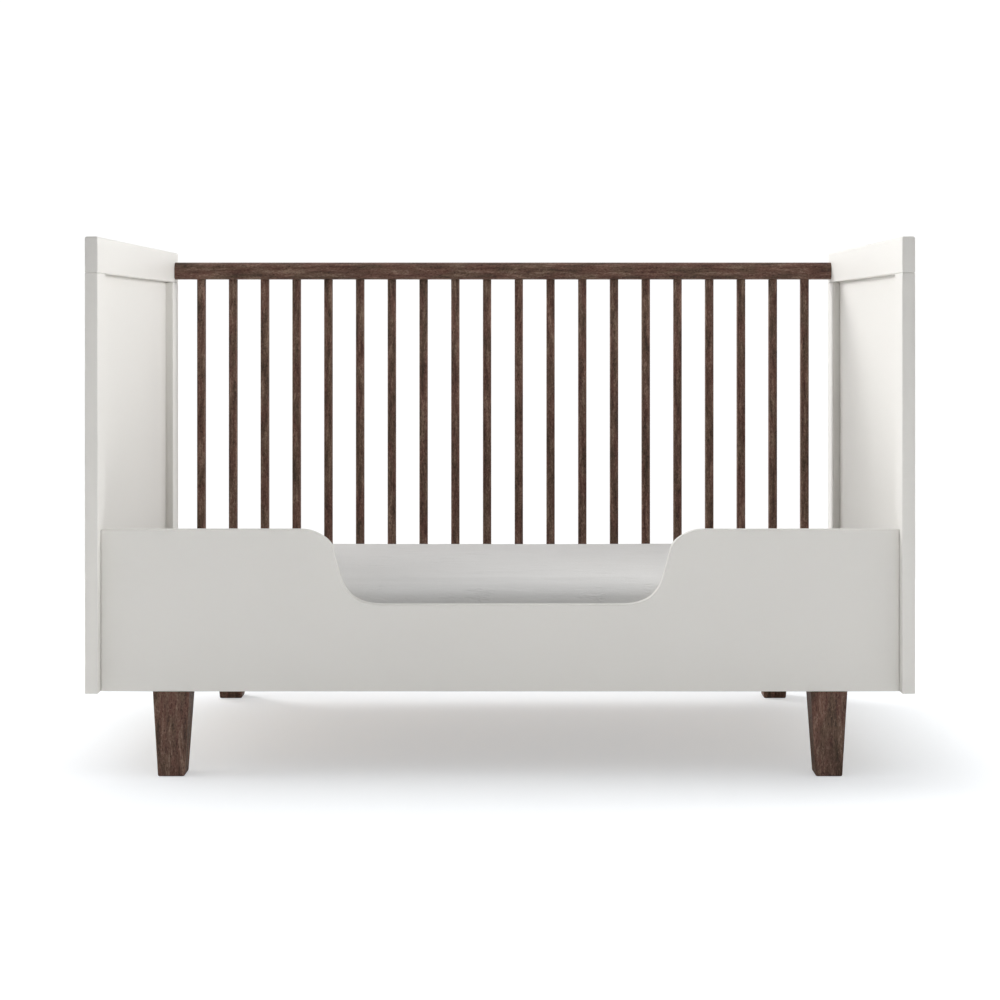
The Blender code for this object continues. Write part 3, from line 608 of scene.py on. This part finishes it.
def bracket_screw_places():
    """Two under the arm of each bracket."""
    for side_name, side in zip(SIDES, (-1, 1)):
        for facing_name in FACINGS:
            low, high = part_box(f"{facing_name}_{side_name}_bracket")
            arm_end = high.x if side < 0 else low.x
            for step in (-0.5, 0.5):
                yield Vector((arm_end + side * BRACKET_SCREW_INSET,
                              (low.y + high.y) / 2 + step * BRACKET_SCREW_APART,
                              high.z - BRACKET_STEEL))


make_screws("batten_screws", batten_screw_places(), 1, BATTEN_HEAD)
make_screws("bracket_screws", bracket_screw_places(), -1, BRACKET_HEAD)


# ---- mattress and its fitted sheet -------------------------------------------

TUCK = 55 * MM                 # how far the sheet reaches in under the mattress
SIDE_GROWTH = 2.4 * MM         # how far the sheet may stand proud of the mattress's place
END_GROWTH = 4.5 * MM
CROWN_GROWTH = 7.5 * MM
UNDERSIDE_RISE = 2.2 * MM      # room below the mattress for the sheet's hem
SHEET_OFF = 0.6 * MM           # sheet to core
CORE_DRAWN_IN = 1.4 * MM       # clear of the creases in the sheet over it
CORE_END_INSET = 3.5 * MM
CORE_SIDE_INSET = 3.0 * MM
CORE_TOP_RISE = 2.2 * MM
CORNER_RADIUS = 48 * MM        # in plan
TOP_ROLL = 46 * MM
FOOT_ROLL = 12 * MM
CORE_MESH = 9.5 * MM
FOAM_PRESSURE = 4.0
FOAM_GROWTH = 8 * MM
FOAM_HELD_BELOW = 12 * MM
CLOTH_FRAMES = 20
HEM_HALF_WIDE = 4.5 * MM
SEAM_RADIUS = 0.85 * MM


def applied(thing):
    """The thing's mesh with its modifiers in it."""
    bpy.context.view_layer.update()
    evaluated = thing.evaluated_get(bpy.context.evaluated_depsgraph_get())
    return bpy.data.meshes.new_from_object(evaluated)


def settle(thing):
    """Puts the modifiers' result into the thing's own mesh."""
    finished = applied(thing)
    thing.modifiers.clear()
    thing.data = finished


def smooth_all(thing):
    for face in thing.data.polygons:
        face.use_smooth = True


def rolled_block(name, low, high, corner, top_roll, foot_roll, voxel, finish):
    """An evenly meshed block with round corners in plan and rolled long edges."""
    size = high - low
    shape = bmesh.new()
    place = Matrix.Translation((low + high) / 2) @ Matrix.Diagonal((*size, 1.0))
    bmesh.ops.create_cube(shape, size=1.0, matrix=place)
    upright = [edge for edge in shape.edges
               if abs(edge.verts[0].co.z - edge.verts[1].co.z) > size.z / 2]
    bmesh.ops.bevel(shape, geom=upright, offset=corner, segments=6, profile=0.5,
                    affect="EDGES")
    for plane, roll in ((high.z, top_roll), (low.z, foot_roll)):
        level = [edge for edge in shape.edges
                 if all(abs(vertex.co.z - plane) < MM for vertex in edge.verts)]
        bmesh.ops.bevel(shape, geom=level, offset=roll, segments=6, profile=0.5,
                        affect="EDGES")
    block = new_piece(name, shape, finish)
    remesh = block.modifiers.new("even mesh", "REMESH")
    remesh.mode = "VOXEL"
    remesh.voxel_size = voxel
    settle(block)
    return block


def fill_with_foam(pad, pressure, cap, pinned_below):
    """Blows the pad up as cloth, its underside held down, moving no point past cap."""
    before = [vertex.co.copy() for vertex in pad.data.vertices]
    held = pad.vertex_groups.new(name="underside")
    held.add([vertex.index for vertex in pad.data.vertices
              if vertex.co.z < pinned_below], 1.0, "REPLACE")
    cloth = pad.modifiers.new("filling", "CLOTH")
    settings = cloth.settings
    settings.quality = 6
    settings.mass = 0.35
    settings.tension_stiffness = 18
    settings.compression_stiffness = 18
    settings.shear_stiffness = 8
    settings.bending_stiffness = 1.5
    settings.use_pressure = True
    settings.uniform_pressure_force = pressure
    settings.vertex_group_mass = held.name
    settings.effector_weights.gravity = 0
    cloth.point_cache.frame_start = 1
    cloth.point_cache.frame_end = CLOTH_FRAMES
    for frame_number in range(1, CLOTH_FRAMES + 1):
        bpy.context.scene.frame_set(frame_number)
    settle(pad)
    bpy.context.scene.frame_set(1)
    for vertex, start in zip(pad.data.vertices, before):
        moved = vertex.co - start
        if moved.length > cap:
            vertex.co = start + moved * (cap / moved.length)
    pad.vertex_groups.clear()


def kept_in(point, low, high, underside):
    """The point held inside the mattress's place plus the growth allowed."""
    return Vector((
        min(max(point.x, low.x - END_GROWTH), high.x + END_GROWTH),
        min(max(point.y, low.y - SIDE_GROWTH), high.y + SIDE_GROWTH),
        min(max(point.z, underside), high.z + CROWN_GROWTH)))


def make_mattress_core(low, high):
    """The foam in its ticking: a rolled block, filled until it crowns."""
    inset = Vector((CORE_END_INSET, CORE_SIDE_INSET, 0.0))
    start_low = low + inset + Vector((0, 0, UNDERSIDE_RISE))
    start_high = high - inset + Vector((0, 0, CORE_TOP_RISE))
    core = rolled_block("mattress_core", start_low, start_high, CORNER_RADIUS, TOP_ROLL,
                        FOOT_ROLL, CORE_MESH, TICKING)
    fill_with_foam(core, FOAM_PRESSURE, FOAM_GROWTH, low.z + FOAM_HELD_BELOW)
    for vertex in core.data.vertices:
        vertex.co = kept_in(vertex.co, low + inset / 4, high - inset / 4,
                            low.z + UNDERSIDE_RISE)
    smooth_all(core)
    return core


def sheet_wrinkle(point, low, high):
    """How far the sheet stands off at a point, in metres, from its creases."""
    centre = (low + high) / 2
    edge_x = (high.x - low.x) / 2 - abs(point.x - centre.x)
    edge_y = (high.y - low.y) / 2 - abs(point.y - centre.y)
    down = high.z - point.z
    on_top = max(0.0, 1.0 - down / (16 * MM))
    on_side = 1.0 - on_top
    wander = noise.noise(point * 7.0)

    pull = noise.noise(Vector((point.x * 5.5, point.y * 34.0 + wander, 0.4)))
    fine_pull = noise.noise(Vector((point.x * 16.0 + wander, point.y * 75.0, 3.1)))
    near_long_edge = math.exp(-max(edge_y, 0.0) / (90 * MM))
    top = pull * (0.30 + 0.75 * near_long_edge) + fine_pull * 0.28 * near_long_edge

    corner_gap = math.hypot(max(edge_x, 0.0), max(edge_y, 0.0))
    bearing = math.atan2(max(edge_y, 0.0), max(edge_x, 1e-6))
    fan = math.sin(bearing * 15 + wander * 3) * math.exp(-corner_gap / (75 * MM))

    run = point.x if edge_y < edge_x else point.y
    gather_phase = run * 2 * math.pi / (27 * MM) + noise.noise(Vector((run * 9, 1.7, 0))) * 4
    low_down = min(max((down - 25 * MM) / (95 * MM), 0.0), 1.0)
    gathers = math.sin(gather_phase) * low_down ** 1.4
    sag = noise.noise(Vector((run * 6.0, point.z * 22.0, 5.0)))
    return MM * (on_top * (top * 0.9 + fan * 0.8) + on_side * (gathers * 0.9 + sag * 0.8))


def make_fitted_sheet(core, low, high):
    """The sheet: the mattress's own skin, open below, tucked under all round."""
    shape = bmesh.new()
    shape.from_mesh(core.data)
    centre = (low + high) / 2
    room_x = (high.x - low.x) / 2 - TUCK
    room_y = (high.y - low.y) / 2 - TUCK
    hidden = []
    for face in shape.faces:
        middle = face.calc_center_median()
        under = middle.z < low.z + UNDERSIDE_RISE + 4 * MM
        if under and abs(middle.x - centre.x) < room_x and abs(middle.y - centre.y) < room_y:
            hidden.append(face)
    bmesh.ops.delete(shape, geom=hidden, context="FACES")
    sheet = new_piece("fitted_sheet", shape, SHEETING)
    finer = sheet.modifiers.new("finer", "SUBSURF")
    finer.levels = finer.render_levels = 1
    settle(sheet)
    mesh = sheet.data
    normals = [vertex.normal.copy() for vertex in mesh.vertices]
    for vertex, outward in zip(mesh.vertices, normals):
        under = vertex.co.z < low.z + UNDERSIDE_RISE + 3 * MM
        crease = 0.0 if under else sheet_wrinkle(vertex.co, low, high)
        off = SHEET_OFF + max(crease, -SHEET_OFF * 0.5)
        vertex.co = kept_in(vertex.co + outward * off, low, high,
                            low.z + UNDERSIDE_RISE - SHEET_OFF)
    smooth_all(sheet)
    return sheet


def draw_in(core, depth):
    """Shrinks the core a little along its own surface directions."""
    inward = [vertex.normal * -depth for vertex in core.data.vertices]
    for vertex, move in zip(core.data.vertices, inward):
        vertex.co += move


def boundary_loop(mesh):
    """The points round the sheet's one open edge, in order."""
    shape = bmesh.new()
    shape.from_mesh(mesh)
    start = next(edge for edge in shape.edges if edge.is_boundary)
    first, vertex = start.verts
    points = [first.co.copy()]
    edge = start
    while vertex is not first:
        points.append(vertex.co.copy())
        edge = next(other for other in vertex.link_edges
                    if other.is_boundary and other is not edge)
        vertex = edge.other_vert(vertex)
    shape.free()
    return points


def evened(points, spacing):
    """A closed run of points, resampled at an even spacing."""
    closed = points + points[:1]
    lengths = [0.0]
    for a, b in zip(closed, closed[1:]):
        lengths.append(lengths[-1] + (b - a).length)
    count = round(lengths[-1] / spacing)
    made, segment = [], 0
    for index in range(count):
        target = lengths[-1] * index / count
        while lengths[segment + 1] < target:
            segment += 1
        share = (target - lengths[segment]) / (lengths[segment + 1] - lengths[segment])
        made.append(closed[segment].lerp(closed[segment + 1], share))
    return made


def make_hem(sheet, low):
    """Elastic hem: a band gathered into small pleats, flat under the mattress."""
    loop = evened(boundary_loop(sheet.data), 4 * MM)
    for _ in range(12):
        loop = [(loop[index - 1] + point * 2 + loop[(index + 1) % len(loop)]) / 4
                for index, point in enumerate(loop)]
    shape = bmesh.new()
    rows = []
    for index, point in enumerate(loop):
        ahead = loop[(index + 1) % len(loop)] - loop[index - 1]
        across = Vector((-ahead.y, ahead.x, 0)).normalized()
        pleat = math.sin(index * 2.1) * 0.6 + math.sin(index * 0.83) * 0.4
        height = low.z + 0.9 * MM + pleat * 0.45 * MM
        row = []
        for share in (-1.0, -0.4, 0.4, 1.0):
            waver = pleat * 0.7 * MM * (1 if abs(share) < 1 else 1.6)
            spot = point + across * (share * HEM_HALF_WIDE + waver)
            spot.z = height - abs(share) * 0.2 * MM
            row.append(shape.verts.new(spot))
        rows.append(row)
    for row, following in zip(rows, rows[1:] + rows[:1]):
        for column in range(3):
            shape.faces.new((row[column], row[column + 1],
                             following[column + 1], following[column]))
    hem = new_piece("sheet_hem", shape, HEM_ELASTIC)
    smooth_all(hem)
    return hem


def make_corner_seam(name, sheet, low, high, side, facing):
    """The stitched dart down one corner of the sheet, from the top roll to the hem."""
    surface = BVHTree.FromObject(sheet, bpy.context.evaluated_depsgraph_get())
    corner = Vector((high.x if side > 0 else low.x, high.y if facing > 0 else low.y, 0))
    outward = Vector((side, facing, 0)).normalized()
    ring = []
    steps = 26
    for step in range(steps):
        height = high.z + 2 * MM - (high.z - low.z - 4 * MM) * step / (steps - 1)
        probe = corner + outward * 20 * MM
        probe.z = height
        if step == 0:
            probe = corner - outward * 34 * MM
            probe.z = high.z + 20 * MM
        spot, normal, _, _ = surface.find_nearest(probe)
        ring.append(spot + normal * 0.25 * MM)
    curve = bpy.data.curves.new(name, "CURVE")
    curve.dimensions = "3D"
    curve.bevel_depth = SEAM_RADIUS
    curve.bevel_resolution = 2
    curve.use_fill_caps = True
    spline = curve.splines.new("POLY")
    spline.points.add(len(ring) - 1)
    for knot, spot in zip(spline.points, ring):
        knot.co = (*spot, 1.0)
    drawn = bpy.data.objects.new(name + "_line", curve)
    bpy.context.scene.collection.objects.link(drawn)
    mesh = applied(drawn)
    bpy.data.objects.remove(drawn)
    mesh.materials.clear()
    mesh.materials.append(SHEETING)
    seam = bpy.data.objects.new(name, mesh)
    bpy.context.scene.collection.objects.link(seam)
    smooth_all(seam)
    return seam


def make_bed():
    """The core in place of the plain mattress, with its sheet, hem and corner seams."""
    low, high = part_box("mattress")
    core = make_mattress_core(low, high)
    sheet = make_fitted_sheet(core, low, high)
    draw_in(core, CORE_DRAWN_IN)
    hem = make_hem(sheet, low)
    seams = [make_corner_seam(f"sheet_seam_{facing_name}_{side_name}", sheet, low, high,
                              side, facing)
             for facing_name, facing in zip(FACINGS, (-1, 1))
             for side_name, side in zip(SIDES, (-1, 1))]
    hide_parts("mattress")
    for piece in (core, sheet, hem, *seams):
        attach(piece, "mattress")


make_bed()
